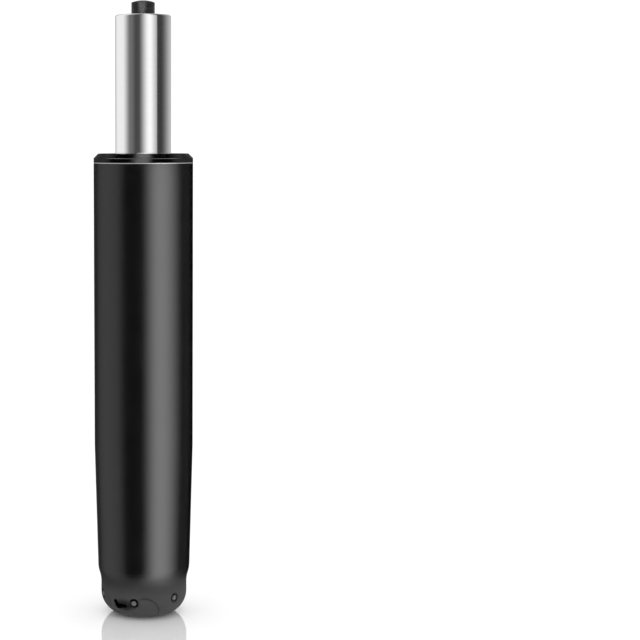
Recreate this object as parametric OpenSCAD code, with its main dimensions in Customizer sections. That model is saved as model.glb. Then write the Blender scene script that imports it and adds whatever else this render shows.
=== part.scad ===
// Chair gas lift cylinder: a steel column with a conical lower end, a chromed pressure tube that rises
// out of a plastic guide sleeve, and the gas spring, release valve and thrust bearing inside them.
// Millimetres, +Z up. The origin is on the column's axis, in the plane of its foot.

/* [Column] */
// Length of the outer tube
column_len = 230; // [200:1:260]
// Outside diameter of the outer tube
column_od = 50; // [49:0.5:54]
// Wall of the outer tube
column_wall = 2; // [1.5:0.1:2.5]
// Chamfer on the outer tube's upper rim
rim_chamfer = 0.3; // [0.3:0.1:1]

/* [Base seat] */
// Length of the cone that wedges into a chair base
taper_len = 61; // [50:1:80]
// Half angle of that cone
taper_angle = 1.438; // [1.2:0.001:1.6]
// Height of the cone's lower end, where the neck begins
neck_top = 26; // [24:0.5:30]
// Outside diameter of the band below the neck
band_od = 43.7; // [42.5:0.1:44.5]
// Height of the band's upper end
band_top = 15.8; // [14:0.1:18]
// Radius of the rolled-in shoulder
shoulder_r = 11.6; // [10:0.1:13]
// Depth ground off under the shoulder to make a flat foot
foot_trim = 0.4; // [0.2:0.05:0.6]
// Diameter of the opening in the foot
lip_bore_d = 22; // [20:0.5:23]

/* [Stakes] */
// Number of punched stakes that lock the base plate
stake_count = 6; // [3:1:8]
// Diameter of a stake mark
stake_d = 4.8; // [3.6:0.1:5]
// Depth of a stake mark
stake_depth = 0.8; // [0.5:0.1:1]
// Diameter of the domed stud left in the middle of a stake mark
stake_stud_d = 2.6; // [2:0.1:2.8]
// Depth of the stud's top below the tube's outside
stake_stud_drop = 0.2; // [0.1:0.05:0.3]
// Height that a stake stands proud inside the tube
stake_bump = 0.6; // [0.4:0.1:0.7]
// Height of the ring of stakes
stake_z = 9.7; // [9:0.1:10.5]
// Turn of the first stake from the front
stake_turn = -14; // [-30:1:30]
// Diameter of the paint drain hole
drain_d = 3.8; // [3:0.1:4]
// Height of the paint drain hole
drain_z = 7.8; // [7:0.1:9]
// Turn of the paint drain hole from the front
drain_turn = -37; // [-40:1:-34]
// Diameter of the smaller drill stroke that runs the drain hole out to one side
drain_run_d = 2.8; // [2:0.1:3]
// Height of that stroke
drain_run_z = 7.2; // [7:0.1:8]
// Turn of that stroke from the front
drain_run_turn = -29; // [-32:1:-27]

/* [Guide sleeve] */
// Height of the collar on top of the outer tube
collar_h = 4.6; // [4:0.1:6]
// Chamfer round the collar
collar_chamfer = 2.3; // [1.5:0.1:3]
// Chamfer at the mouth of the sleeve's bore
guide_mouth = 0.3; // [0.2:0.1:0.8]
// Length of the sleeve inside the outer tube
guide_len = 80; // [60:1:90]
// Wall of the sleeve beside its bore and beside the outer tube
guide_skin = 2.2; // [1.8:0.1:2.8]
// Solid length of the sleeve under the collar
guide_head = 8; // [5:0.5:15]
// Number of ribs in the sleeve
guide_ribs = 8; // [6:1:12]
// Thickness of a rib
guide_rib_w = 2.5; // [2:0.1:3]

/* [Pressure tube] */
// Outside diameter of the pressure tube
tube_od = 28; // [27:0.1:29]
// Wall of the pressure tube
tube_wall = 1.6; // [1.4:0.1:1.8]
// Length seen above the collar at rest
tube_show = 69; // [60:1:80]
// Length of the spigot at the top, which a seat socket grips
seat_len = 37; // [30:0.5:38]
// Length of the slope below that spigot
seat_lead = 1.8; // [1:0.1:2]
// Depth ground off the tube below that slope, to run in the guide sleeve
run_grind = 0.18; // [0.16:0.01:0.25]
// Radius of the tube's edges
tube_edge_r = 1; // [0.8:0.1:1.4]
// Thickness of the rolled lip at the top
top_lip_t = 2; // [1.6:0.1:2.4]
// Bore of the lip at the top
top_lip_bore_d = 12; // [11.8:0.1:12.4]
// Thickness of the rolled lip at the lower end
end_lip_t = 1.6; // [1.4:0.1:2]
// Bore of the lip at the lower end
end_lip_bore_d = 16; // [14:0.5:18]

/* [Travel] */
// Travel up from rest, until the rod guide meets the piston
rise = 70; // [50:1:75]
// Travel down from rest, until the tube meets the bumper
drop = 30; // [20:1:31]
// Travel of the release button
press = 4.5; // [3.5:0.1:5]

/* [Release button] */
// Diameter of the button
button_d = 11.5; // [10.5:0.1:11.6]
// Height of the button above the pressure tube
button_show = 7; // [6:0.1:8]
// Height of the button's crown
button_crown = 0.6; // [0.5:0.1:1.2]
// Chamfer round the button's top
button_chamfer = 0.3; // [0.3:0.1:0.8]
// Diameter of the flange that keeps the button in
button_flange_d = 14; // [13.4:0.1:14.4]
// Thickness of that flange
button_flange_t = 2; // [1.5:0.1:2.5]
// Depth of the socket for the valve pin
pin_socket = 3; // [2:0.1:4]

/* [Valve] */
// Thickness of the retainer over the valve body
retainer_t = 1.5; // [1:0.1:2]
// Length of the valve body that fills the pressure tube
valve_head_len = 24; // [22:0.5:28]
// Length of the valve body's spigot in the gas cylinder
valve_spigot_len = 10; // [9:0.5:12]
// Diameter of the valve pin
pin_d = 4; // [3.6:0.1:4.2]
// Diameter of the valve pin's waist, which lets gas past
pin_waist_d = 2.6; // [2.2:0.1:3]
// Height of the land that carries the pin's lower O-ring
pin_land = 2; // [1.5:0.1:2.2]
// Diameter of the gas bore round the pin below that land
gas_bore_d = 5.6; // [5:0.1:6]
// Diameter of the valve pin's head
pin_head_d = 6.8; // [6.2:0.1:7.4]
// Thickness of the valve pin's head
pin_head_t = 2.5; // [2:0.1:3]
// Thickness of the O-rings on the valve pin
pin_ring_t = 2.1; // [1.8:0.1:2.2]
// Length of the spacer between those O-rings
spacer_len = 12; // [10:0.5:13]
// Bore of the spacer
spacer_bore_d = 4.8; // [4.5:0.1:5]
// Diameter of the gas ports through the spacer and the body
port_d = 2; // [1.6:0.1:2.4]
// Number of gas ports
port_count = 4; // [3:1:6]
// Depth of the gas channels on the valve body
channel_depth = 0.9; // [0.6:0.1:1.1]
// Width of the gas channels
channel_w = 3; // [2:0.1:4]
// Thickness of the O-rings on the valve body and on the piston
seal_ring_t = 2; // [1.8:0.1:2.2]

/* [Gas cylinder] */
// Gap between the gas cylinder and the pressure tube
bypass_gap = 0.8; // [0.6:0.1:1]
// Wall of the gas cylinder
cylinder_wall = 1.2; // [1:0.1:1.4]

/* [Rod guide and seal] */
// Thickness of the washer under the rod seal
seal_washer_t = 2; // [1.5:0.1:3]
// Height of the rod seal
rod_seal_h = 8; // [6:0.5:10]
// Depth of the groove between the rod seal's lips
seal_groove = 4.5; // [3:0.1:5]
// Width of each of the rod seal's lips
seal_lip_w = 2; // [1.6:0.1:2.4]
// Height of the rod guide up to the gas cylinder
rod_guide_h = 10; // [8:0.5:12]
// Height of the rod guide's spigot in the gas cylinder
guide_spigot_h = 6; // [5:0.5:8]

/* [Piston and rod] */
// Diameter of the piston rod
rod_d = 10; // [9.6:0.1:10.4]
// Diameter of the rod's lower end
rod_end_d = 8; // [7.6:0.1:8.4]
// Diameter of the rod's upper end, in the piston
rod_top_d = 7; // [6.4:0.1:7.4]
// Height of the rod's lower end above the foot
rod_end_z = 0.9; // [0.6:0.1:1.2]
// Chamfer on the rod's two ends
rod_chamfer = 0.6; // [0.3:0.1:0.9]
// Length of the piston
piston_len = 12; // [10:0.5:16]
// Running gap round the piston
piston_gap = 0.1; // [0.06:0.01:0.15]
// Diameter of the washers above and below the piston
piston_washer_d = 17; // [14:0.5:19]
// Thickness of those washers
piston_washer_t = 1.2; // [1:0.1:2]
// Thickness of the circlip on the rod's upper end
circlip_t = 1; // [0.8:0.1:1.2]
// Diameter of that circlip
circlip_d = 11; // [10:0.5:12]
// Length of rod above the circlip
rod_top_over = 1.4; // [1:0.1:2]

/* [Thrust bearing] */
// Diameter of a bearing ball
ball_d = 4; // [3.6:0.1:4.2]
// Number of bearing balls
ball_count = 12; // [8:1:13]
// Diameter of the circle of balls
ball_pcd = 20; // [19:0.5:21]
// Thickness of a race
race_t = 2.2; // [2:0.1:2.6]
// Diameter of a race
race_od = 27; // [26:0.5:31]
// Depth of the groove in a race
groove_depth = 0.45; // [0.3:0.05:0.6]
// Thickness of the ball cage
cage_t = 1.8; // [1.4:0.1:2]
// Width of the ball cage's ring
cage_w = 6.8; // [6:0.1:7.2]

/* [Bumper] */
// Thickness of the washer under the bumper
bumper_washer_t = 1.5; // [1:0.1:2]
// Diameter of the washer under the bumper
bumper_washer_d = 26; // [24:0.5:30]
// Height of the rubber bumper
bumper_h = 12; // [8:0.5:14]
// Diameter of the rubber bumper
bumper_od = 23; // [20:0.5:25]
// Depth of the bumper's waist
bumper_waist = 1.6; // [1:0.1:2]

/* [Base plate and clip] */
// Height of the base plate's underside
plate_z = 4.6; // [4.2:0.1:5]
// Thickness of the base plate
plate_t = 9; // [8.5:0.1:11]
// Depth of the groove that takes the stakes
plate_groove = 0.9; // [0.8:0.1:1.2]
// Width of that groove
plate_groove_w = 2.6; // [2.4:0.1:2.8]
// Thickness of the washer under the base plate
clip_washer_t = 1; // [0.8:0.1:1.2]
// Diameter of the washer under the base plate
clip_washer_d = 17; // [15:0.5:18]
// Thickness of the retaining clip
clip_t = 1.2; // [1:0.1:1.4]
// Diameter of the retaining clip
clip_d = 14; // [13:0.5:15]
// Depth of the clip's groove in the rod
clip_groove = 1; // [0.8:0.1:1.2]

/* [Clearances] */
// Gap round a piece that fits or runs in another
fit_gap = 0.05; // [0.03:0.01:0.08]
// Gap left at the end of a travel and round a loose piece
stop_gap = 0.3; // [0.2:0.05:0.5]

/* [Hidden] */
$fn = 96;
// Overshoot of a cutting tool past the face that it cuts
cut = 1;

// Outer tube
column_r = column_od / 2;
bore_r = column_r - column_wall;
taper_top = neck_top + taper_len;
taper_end_r = column_r - taper_len * tan(taper_angle);
band_r = band_od / 2;
band_bore_r = band_r - column_wall;
// The neck is two equal arcs, one rounded and one hollow, that meet half way down
neck_angle = 2 * atan((taper_end_r - band_r) / (neck_top - band_top));
neck_arc_r = (neck_top - band_top) / (2 * sin(neck_angle));
shoulder_z = shoulder_r - foot_trim;
shoulder_mid_r = band_r - shoulder_r;
lip_bore_r = lip_bore_d / 2;

// Base plate and thrust bearing, stacked up from the foot
plate_top = plate_z + plate_t;
plate_r = band_bore_r - fit_gap;
rod_end_r = rod_end_d / 2;
lower_race_top = plate_top + race_t;
ball_r = ball_d / 2;
ball_z = lower_race_top - groove_depth + fit_gap + ball_r;
upper_race_z = ball_z + ball_r + fit_gap - groove_depth;
rod_shoulder_z = upper_race_z + race_t;
bumper_z = rod_shoulder_z + bumper_washer_t;
bumper_top = bumper_z + bumper_h;
clip_top = plate_z - clip_washer_t;
clip_groove_r = rod_end_r - clip_groove;

// Guide sleeve and pressure tube
collar_top = column_len + collar_h;
tube_r = tube_od / 2;
tube_run_r = tube_r - run_grind;
tube_bore_r = tube_r - tube_wall;
tube_top = collar_top + tube_show;
seat_z = tube_top - seat_len;
tube_end = bumper_top + stop_gap + drop;
tube_fit_r = tube_bore_r - fit_gap;
guide_bore_r = tube_run_r + fit_gap;
guide_end = column_len - guide_len;

// Rod guide, seal and piston, stacked up from the pressure tube's lower lip
rod_r = rod_d / 2;
rod_fit_r = rod_r + fit_gap;
seal_washer_z = tube_end + end_lip_t;
rod_seal_z = seal_washer_z + seal_washer_t;
rod_guide_z = rod_seal_z + rod_seal_h;
cylinder_z = rod_guide_z + rod_guide_h;
rod_guide_top = cylinder_z + guide_spigot_h;
cylinder_r = tube_bore_r - bypass_gap;
cylinder_bore_r = cylinder_r - cylinder_wall;
spigot_r = cylinder_bore_r - fit_gap;
piston_foot = rod_guide_top + rise + stop_gap;
piston_z = piston_foot + piston_washer_t;
piston_top = piston_z + piston_len;
circlip_z = piston_top + piston_washer_t;
rod_top_r = rod_top_d / 2;
rod_top = circlip_z + circlip_t + rod_top_over;
circlip_groove_r = rod_top_r - circlip_t / 2;
piston_r = cylinder_bore_r - piston_gap;

// Valve, hung down from the pressure tube's top
retainer_z = tube_top - top_lip_t - retainer_t;
valve_shoulder_z = retainer_z - valve_head_len;
valve_end = valve_shoulder_z - valve_spigot_len;
button_r = button_d / 2;
button_flange_r = button_flange_d / 2;
button_flange_z = retainer_z - button_flange_t;
button_well_r = button_flange_r + stop_gap;
button_well_z = button_flange_z - press - stop_gap;
pin_r = pin_d / 2;
pin_fit_r = pin_r + fit_gap;
pin_top = button_flange_z + pin_socket;
pin_ring_mid_r = pin_fit_r + pin_ring_t / 2;
valve_chamber_r = pin_fit_r + pin_ring_t + fit_gap;
upper_pin_ring_z = button_well_z - pin_ring_t / 2;
spacer_z = button_well_z - pin_ring_t - spacer_len;
lower_pin_ring_z = spacer_z - pin_ring_t / 2;
valve_chamber_z = spacer_z - pin_ring_t;
port_z = spacer_z + spacer_len / 2;
body_ring_z = (retainer_z + port_z) / 2;
spigot_ring_z = (valve_shoulder_z + valve_end) / 2;
seal_ring_r = seal_ring_t / 2;

// A plain ring between two heights
module ring(outer_r, inner_r, z, h) {
    translate([0, 0, z]) difference() {
        cylinder(r = outer_r, h = h);
        translate([0, 0, -cut]) cylinder(r = inner_r, h = h + 2 * cut);
    }
}

// A round-section ring, as an O-ring is
module o_ring(mid_r, section_r, z) {
    translate([0, 0, z]) rotate_extrude() translate([mid_r, 0]) circle(section_r);
}

// The groove that an O-ring lies in, cut into a shaft
module o_ring_groove(shaft_r, floor_r, z) {
    ring(shaft_r + cut, floor_r, z - seal_ring_r - fit_gap, seal_ring_t + 2 * fit_gap);
}

// Copies of a shape turned evenly about the axis
module around(count, first = 0) {
    for (i = [0 : count - 1]) rotate([0, 0, first + i * 360 / count]) children();
}

// Puts a tool on the front of the column, pointing outwards, at a height and a distance from the axis
module on_front(r, z) {
    translate([0, -r, z]) rotate([90, 0, 0]) children();
}

// Half section of the column as a filled shape, drawn in from its outside by inset
module column_section(inset) {
    neck_split = (neck_top + band_top) / 2 + inset * sin(neck_angle);
    neck_split_r = taper_end_r - neck_arc_r + (neck_arc_r - inset) * cos(neck_angle);
    polygon([
        [0, neck_top], [taper_end_r - inset, neck_top], [column_r - inset, taper_top],
        [column_r - inset, column_len], [0, column_len]
    ]);
    intersection() {
        translate([taper_end_r - neck_arc_r, neck_top]) circle(neck_arc_r - inset);
        translate([0, neck_split]) square([column_r, neck_top - neck_split]);
    }
    difference() {
        translate([0, band_top]) square([neck_split_r, neck_split - band_top]);
        translate([band_r + neck_arc_r, band_top]) circle(neck_arc_r + inset);
    }
    translate([0, shoulder_z]) square([band_r - inset, band_top - shoulder_z]);
    translate([shoulder_mid_r, shoulder_z]) circle(shoulder_r - inset);
    translate([0, shoulder_z - shoulder_r + inset]) square([shoulder_mid_r, shoulder_r - inset]);
}

// Half section of the outer tube: the column's outline less its bore, open at the foot
module outer_tube_section() {
    difference() {
        intersection() {
            column_section(0);
            square([column_r, column_len]);
        }
        column_section(column_wall);
        translate([0, -cut]) square([lip_bore_r, shoulder_r]);
        polygon([
            [column_r - rim_chamfer, column_len], [column_r, column_len - rim_chamfer],
            [column_r + cut, column_len - rim_chamfer], [column_r + cut, column_len + cut],
            [column_r - rim_chamfer, column_len + cut]
        ]);
    }
}

// A punch mark: a round pocket with a domed stud of metal left in its middle
module stake_mark() {
    difference() {
        translate([0, 0, -stake_depth]) cylinder(d = stake_d, h = stake_depth + cut);
        translate([0, 0, -stake_stud_drop - stake_stud_d / 2]) sphere(d = stake_stud_d);
    }
}

// Steel tube, cold drawn, coned and rolled in at the foot, painted black
module outer_tube() {
    bump_r = stake_bump + column_wall / 4;
    bump_mid_r = band_bore_r - stake_bump + bump_r;
    color("#1c1c1d") difference() {
        union() {
            rotate_extrude() outer_tube_section();
            around(stake_count, stake_turn) on_front(bump_mid_r, stake_z) sphere(bump_r);
        }
        around(stake_count, stake_turn) on_front(band_r, stake_z) stake_mark();
        rotate([0, 0, drain_turn]) on_front(band_bore_r - cut, drain_z)
            cylinder(d = drain_d, h = column_wall + 2 * cut);
        rotate([0, 0, drain_run_turn]) on_front(band_bore_r - cut, drain_run_z)
            cylinder(d = drain_run_d, h = column_wall + 2 * cut);
    }
}

// Thick steel disc that nests in the rolled shoulder and carries the thrust bearing
module base_plate() {
    nest_r = shoulder_r - column_wall - fit_gap;
    color("#8d9094") difference() {
        rotate_extrude() intersection() {
            union() {
                translate([shoulder_mid_r, shoulder_z]) circle(nest_r);
                translate([0, plate_z]) square([shoulder_mid_r, plate_t]);
                translate([0, shoulder_z]) square([plate_r, plate_top - shoulder_z]);
            }
            translate([rod_end_r + fit_gap, plate_z]) square([plate_r, plate_t]);
        }
        ring(plate_r + cut, plate_r - plate_groove, stake_z - plate_groove_w / 2, plate_groove_w);
    }
}

// Long acetal bush pressed into the outer tube; its collar covers the tube's rim
module guide_sleeve() {
    body_r = bore_r - fit_gap;
    pocket_r = guide_bore_r + guide_skin;
    pocket_w = body_r - guide_skin - pocket_r;
    pocket_len = guide_len - guide_head;
    rib_turn = 2 * asin(guide_rib_w / 2 / (pocket_r + pocket_w / 2));
    color("#161617") difference() {
        rotate_extrude() polygon([
            [guide_bore_r, guide_end], [body_r, guide_end], [body_r, column_len], [column_r, column_len],
            [column_r, collar_top - collar_chamfer], [column_r - collar_chamfer, collar_top],
            [guide_bore_r + guide_mouth, collar_top], [guide_bore_r, collar_top - guide_mouth]
        ]);
        around(guide_ribs) translate([0, 0, guide_end - cut])
            rotate_extrude(angle = 360 / guide_ribs - rib_turn)
                translate([pocket_r, 0]) square([pocket_w, pocket_len + cut]);
    }
}

// A hardened race with a groove for the balls, on its upper face or, turned over, on its lower one
module race(bore_r, z, groove_z) {
    groove_r = ball_r + fit_gap;
    color("#b9bcc0") difference() {
        ring(race_od / 2, bore_r, z, race_t);
        o_ring(ball_pcd / 2, groove_r, groove_z);
    }
}

module bearing_lower_race() {
    race(rod_r, plate_top, ball_z);
}

module bearing_upper_race() {
    race(rod_end_r + fit_gap, upper_race_z, ball_z);
}

// Brass ring with a pocket for each ball
module ball_cage() {
    color("#b08a4a") difference() {
        ring(ball_pcd / 2 + cage_w / 2, ball_pcd / 2 - cage_w / 2, ball_z - cage_t / 2, cage_t);
        around(ball_count) translate([ball_pcd / 2, 0, ball_z - cage_t])
            cylinder(r = ball_r + 2 * fit_gap, h = 2 * cage_t);
    }
}

module bearing_balls() {
    color("#c9ccd0") around(ball_count) translate([ball_pcd / 2, 0, ball_z]) sphere(ball_r);
}

// Ground rod: its shoulder stands on the upper race, its lower end passes through the base plate
module piston_rod() {
    color("#c4c7cb") difference() {
        rotate_extrude() polygon([
            [0, rod_end_z], [rod_end_r - rod_chamfer, rod_end_z], [rod_end_r, rod_end_z + rod_chamfer],
            [rod_end_r, rod_shoulder_z], [rod_r, rod_shoulder_z], [rod_r, piston_foot],
            [rod_top_r, piston_foot], [rod_top_r, rod_top - rod_chamfer], [rod_top_r - rod_chamfer, rod_top],
            [0, rod_top]
        ]);
        ring(rod_end_r + cut, clip_groove_r, clip_top - clip_t - fit_gap, clip_t + 2 * fit_gap);
        ring(rod_top_r + cut, circlip_groove_r, circlip_z - fit_gap, circlip_t + 2 * fit_gap);
    }
}

module bumper_washer() {
    color("#9a9da1") ring(bumper_washer_d / 2, rod_fit_r, rod_shoulder_z, bumper_washer_t);
}

// Waisted rubber ring that the pressure tube lands on
module rubber_bumper() {
    bumper_r = bumper_od / 2;
    waist_arc_r = (bumper_h * bumper_h / 16 + bumper_waist * bumper_waist) / (2 * bumper_waist);
    color("#2a2a2a") rotate_extrude() difference() {
        translate([rod_fit_r + stop_gap, bumper_z]) square([bumper_r - rod_fit_r - stop_gap, bumper_h]);
        translate([bumper_r - bumper_waist + waist_arc_r, bumper_z + bumper_h / 2]) circle(waist_arc_r);
    }
}

module clip_washer() {
    color("#a5a8ac") ring(clip_washer_d / 2, rod_end_r + fit_gap, clip_top, clip_washer_t);
}

// E-shaped spring clip, pushed on from the side
module retaining_clip() {
    seat_r = clip_groove_r + fit_gap;
    mouth_w = 2 * seat_r * 0.9;
    relief_r = rod_end_r + 2 * fit_gap;
    relief_turn = 72;
    color("#3b3d40") translate([0, 0, clip_top - clip_t]) difference() {
        cylinder(d = clip_d, h = clip_t);
        translate([0, 0, -cut]) cylinder(r = seat_r, h = clip_t + 2 * cut);
        translate([-mouth_w / 2, -clip_d, -cut]) cube([mouth_w, clip_d, clip_t + 2 * cut]);
        for (side = [-1, 1]) rotate([0, 0, side * relief_turn / 2]) translate([0, 0, -cut])
            rotate_extrude(angle = side * relief_turn) square([relief_r, clip_t + 2 * cut]);
    }
}

module piston() {
    color("#c2b48f") difference() {
        ring(piston_r, rod_top_r + fit_gap, piston_z, piston_len);
        o_ring_groove(piston_r, spigot_r - seal_ring_t - fit_gap, piston_z + piston_len / 2);
    }
}

module piston_o_ring() {
    color("#1a1a1a") o_ring(spigot_r - seal_ring_r, seal_ring_r, piston_z + piston_len / 2);
}

module piston_washers() {
    color("#a5a8ac") for (z = [piston_foot, piston_top])
        ring(piston_washer_d / 2, rod_top_r + fit_gap, z, piston_washer_t);
}

// Open ring snapped into the rod's upper groove
module piston_circlip() {
    mouth_w = 2 * circlip_groove_r;
    color("#3b3d40") difference() {
        ring(circlip_d / 2, circlip_groove_r + fit_gap, circlip_z, circlip_t);
        translate([-mouth_w / 2, 0, circlip_z - cut]) cube([mouth_w, circlip_d, circlip_t + 2 * cut]);
    }
}

// Chromed steel tube, rolled in at both ends over the valve and the rod guide; its top is a seat's spigot
module pressure_tube() {
    len = tube_top - tube_end;
    color("#d9dadc") rotate_extrude() difference() {
        union() {
            translate([tube_run_r - tube_edge_r, tube_end + tube_edge_r]) circle(tube_edge_r);
            translate([tube_r - tube_edge_r, tube_top - tube_edge_r]) circle(tube_edge_r);
            polygon([
                [0, tube_end], [tube_run_r - tube_edge_r, tube_end],
                [tube_run_r - tube_edge_r, tube_end + tube_edge_r], [tube_run_r, tube_end + tube_edge_r],
                [tube_run_r, seat_z - seat_lead], [tube_r, seat_z],
                [tube_r, tube_top - tube_edge_r], [tube_r - tube_edge_r, tube_top - tube_edge_r],
                [tube_r - tube_edge_r, tube_top], [0, tube_top]
            ]);
        }
        translate([0, tube_end + end_lip_t]) square([tube_bore_r, len - end_lip_t - top_lip_t]);
        translate([0, tube_top - top_lip_t - cut]) square([top_lip_bore_d / 2, top_lip_t + 2 * cut]);
        translate([0, tube_end - cut]) square([end_lip_bore_d / 2, end_lip_t + 2 * cut]);
    }
}

// Thin inner cylinder that the piston runs in; gas passes outside it when the valve is open
module gas_cylinder() {
    color("#aeb1b5") ring(cylinder_r, cylinder_bore_r, cylinder_z, valve_shoulder_z - cylinder_z);
}

module seal_washer() {
    color("#a5a8ac") ring(tube_fit_r, rod_fit_r + 2 * fit_gap, seal_washer_z, seal_washer_t);
}

// Rubber seal with one lip on the rod and one on the tube, parted by a groove on the gas side
module rod_seal() {
    lip_top = rod_seal_z + rod_seal_h;
    groove_mid_r = (tube_fit_r + rod_fit_r) / 2;
    color("#1a1a1a") rotate_extrude() polygon([
        [rod_fit_r, rod_seal_z], [tube_fit_r, rod_seal_z], [tube_fit_r, lip_top],
        [tube_fit_r - seal_lip_w, lip_top], [groove_mid_r, lip_top - seal_groove],
        [rod_fit_r + seal_lip_w, lip_top], [rod_fit_r, lip_top]
    ]);
}

// Plastic guide for the rod, notched so that gas can reach the space under the piston
module rod_guide() {
    color("#d8d4c6") difference() {
        union() {
            ring(tube_fit_r, rod_fit_r, rod_guide_z, rod_guide_h);
            ring(spigot_r, rod_fit_r, cylinder_z, guide_spigot_h);
        }
        around(port_count) translate([spigot_r - channel_depth, -channel_w / 2, cylinder_z - channel_w])
            cube([tube_bore_r, channel_w, channel_w + guide_spigot_h + cut]);
    }
}

// Cast body with a well for the button, a chamber for the pin's seals and gas ports to the bypass gap
module valve_body() {
    color("#b7babd") difference() {
        union() {
            ring(tube_fit_r, pin_fit_r, valve_shoulder_z, valve_head_len);
            ring(spigot_r, pin_fit_r, valve_end, valve_spigot_len);
        }
        translate([0, 0, button_well_z])
            cylinder(r = button_well_r, h = retainer_z - button_well_z + cut);
        translate([0, 0, valve_chamber_z])
            cylinder(r = valve_chamber_r, h = button_well_z - valve_chamber_z + cut);
        translate([0, 0, valve_end - cut])
            cylinder(d = gas_bore_d, h = valve_chamber_z - pin_land - valve_end + cut);
        o_ring_groove(tube_fit_r, tube_fit_r - seal_ring_t - fit_gap, body_ring_z);
        o_ring_groove(spigot_r, spigot_r - seal_ring_t - fit_gap, spigot_ring_z);
        ring(tube_bore_r + cut, tube_fit_r - channel_depth, port_z - port_d / 2, port_d);
        around(port_count) {
            translate([0, 0, port_z]) rotate([0, 90, 0]) cylinder(d = port_d, h = tube_bore_r + cut);
            translate([tube_fit_r - channel_depth, -channel_w / 2, valve_shoulder_z - cut])
                cube([tube_bore_r, channel_w, port_z - valve_shoulder_z + cut]);
        }
    }
}

module valve_body_o_ring() {
    color("#1a1a1a") o_ring(tube_fit_r - seal_ring_r, seal_ring_r, body_ring_z);
}

module cylinder_o_ring() {
    color("#1a1a1a") o_ring(spigot_r - seal_ring_r, seal_ring_r, spigot_ring_z);
}

// Plastic sleeve that holds the pin's two O-rings apart and lets gas out through its ports
module valve_spacer() {
    color("#d8d4c6") difference() {
        ring(valve_chamber_r - fit_gap, spacer_bore_d / 2, spacer_z, spacer_len);
        around(port_count) translate([0, 0, port_z]) rotate([0, 90, 0]) cylinder(d = port_d, h = tube_r);
    }
}

module valve_pin_o_rings() {
    color("#1a1a1a") for (z = [upper_pin_ring_z, lower_pin_ring_z]) o_ring(pin_ring_mid_r, pin_ring_t / 2, z);
}

module valve_retainer() {
    color("#a5a8ac") ring(tube_fit_r, top_lip_bore_d / 2, retainer_z, retainer_t);
}

// Black button with a crowned top, kept in by its flange
module release_button() {
    button_top = tube_top + button_show;
    crown_r = (button_r * button_r + button_crown * button_crown) / (2 * button_crown);
    color("#1b1b1c") difference() {
        rotate_extrude() intersection() {
            polygon([
                [0, button_flange_z], [button_flange_r, button_flange_z], [button_flange_r, retainer_z],
                [button_r, retainer_z], [button_r, button_top - button_crown - button_chamfer],
                [button_r - button_chamfer, button_top - button_crown + button_chamfer / 2],
                [button_r - button_chamfer, button_top], [0, button_top]
            ]);
            union() {
                square([button_flange_r, button_top - button_crown]);
                translate([0, button_top - crown_r]) circle(crown_r);
            }
        }
        translate([0, 0, button_flange_z - cut]) cylinder(r = pin_fit_r, h = pin_socket + fit_gap + cut);
    }
}

// Steel pin pressed into the button; its waist lets gas past the lower O-ring when the button is down
module valve_pin() {
    waist_r = pin_waist_d / 2;
    waist_top = spacer_z + spacer_len / 2;
    waist_foot = spacer_z;
    color("#c4c7cb") rotate_extrude() polygon([
        [0, valve_end - pin_head_t], [pin_head_d / 2, valve_end - pin_head_t], [pin_head_d / 2, valve_end],
        [pin_r, valve_end], [pin_r, waist_foot], [waist_r, waist_foot + pin_r - waist_r],
        [waist_r, waist_top - pin_r + waist_r], [pin_r, waist_top], [pin_r, pin_top], [0, pin_top]
    ]);
}

outer_tube();
base_plate();
guide_sleeve();
bearing_lower_race();
ball_cage();
bearing_balls();
piston_rod();
bearing_upper_race();
bumper_washer();
rubber_bumper();
clip_washer();
retaining_clip();
piston();
piston_o_ring();
piston_washers();
piston_circlip();
pressure_tube();
gas_cylinder();
seal_washer();
rod_seal();
rod_guide();
valve_body();
valve_body_o_ring();
cylinder_o_ring();
valve_spacer();
valve_pin_o_rings();
valve_retainer();
release_button();
valve_pin();
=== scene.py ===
"""A loose chair gas lift: black coned column, collar, chromed tube and release button, on a pale floor."""

import math

import bmesh
import bpy
from mathutils import Matrix, Vector


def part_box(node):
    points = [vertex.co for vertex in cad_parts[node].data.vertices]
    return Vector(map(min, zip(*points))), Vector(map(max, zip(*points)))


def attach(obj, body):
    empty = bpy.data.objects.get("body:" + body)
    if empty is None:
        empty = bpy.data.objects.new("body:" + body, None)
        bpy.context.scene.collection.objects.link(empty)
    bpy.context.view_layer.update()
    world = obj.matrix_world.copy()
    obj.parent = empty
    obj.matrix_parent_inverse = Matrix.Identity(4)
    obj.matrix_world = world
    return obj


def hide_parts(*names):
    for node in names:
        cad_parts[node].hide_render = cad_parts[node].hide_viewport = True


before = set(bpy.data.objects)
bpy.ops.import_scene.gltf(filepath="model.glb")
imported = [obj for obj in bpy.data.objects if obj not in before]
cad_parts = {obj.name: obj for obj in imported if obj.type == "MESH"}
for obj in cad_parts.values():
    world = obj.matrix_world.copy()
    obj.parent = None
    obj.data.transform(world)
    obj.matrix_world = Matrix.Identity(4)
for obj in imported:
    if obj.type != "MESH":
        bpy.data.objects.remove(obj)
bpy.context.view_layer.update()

# Outer tube
# A drawn steel tube, coned for the hub of a chair base, necked and rolled in at the foot.
# Six punched stakes hold the plate inside, and one drilled hole drains the bore.
# It is stove enamelled black, and its rim is a faced steel edge that takes the collar, painted pale grey as a
# painted highlight.
MM = 0.001

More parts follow.
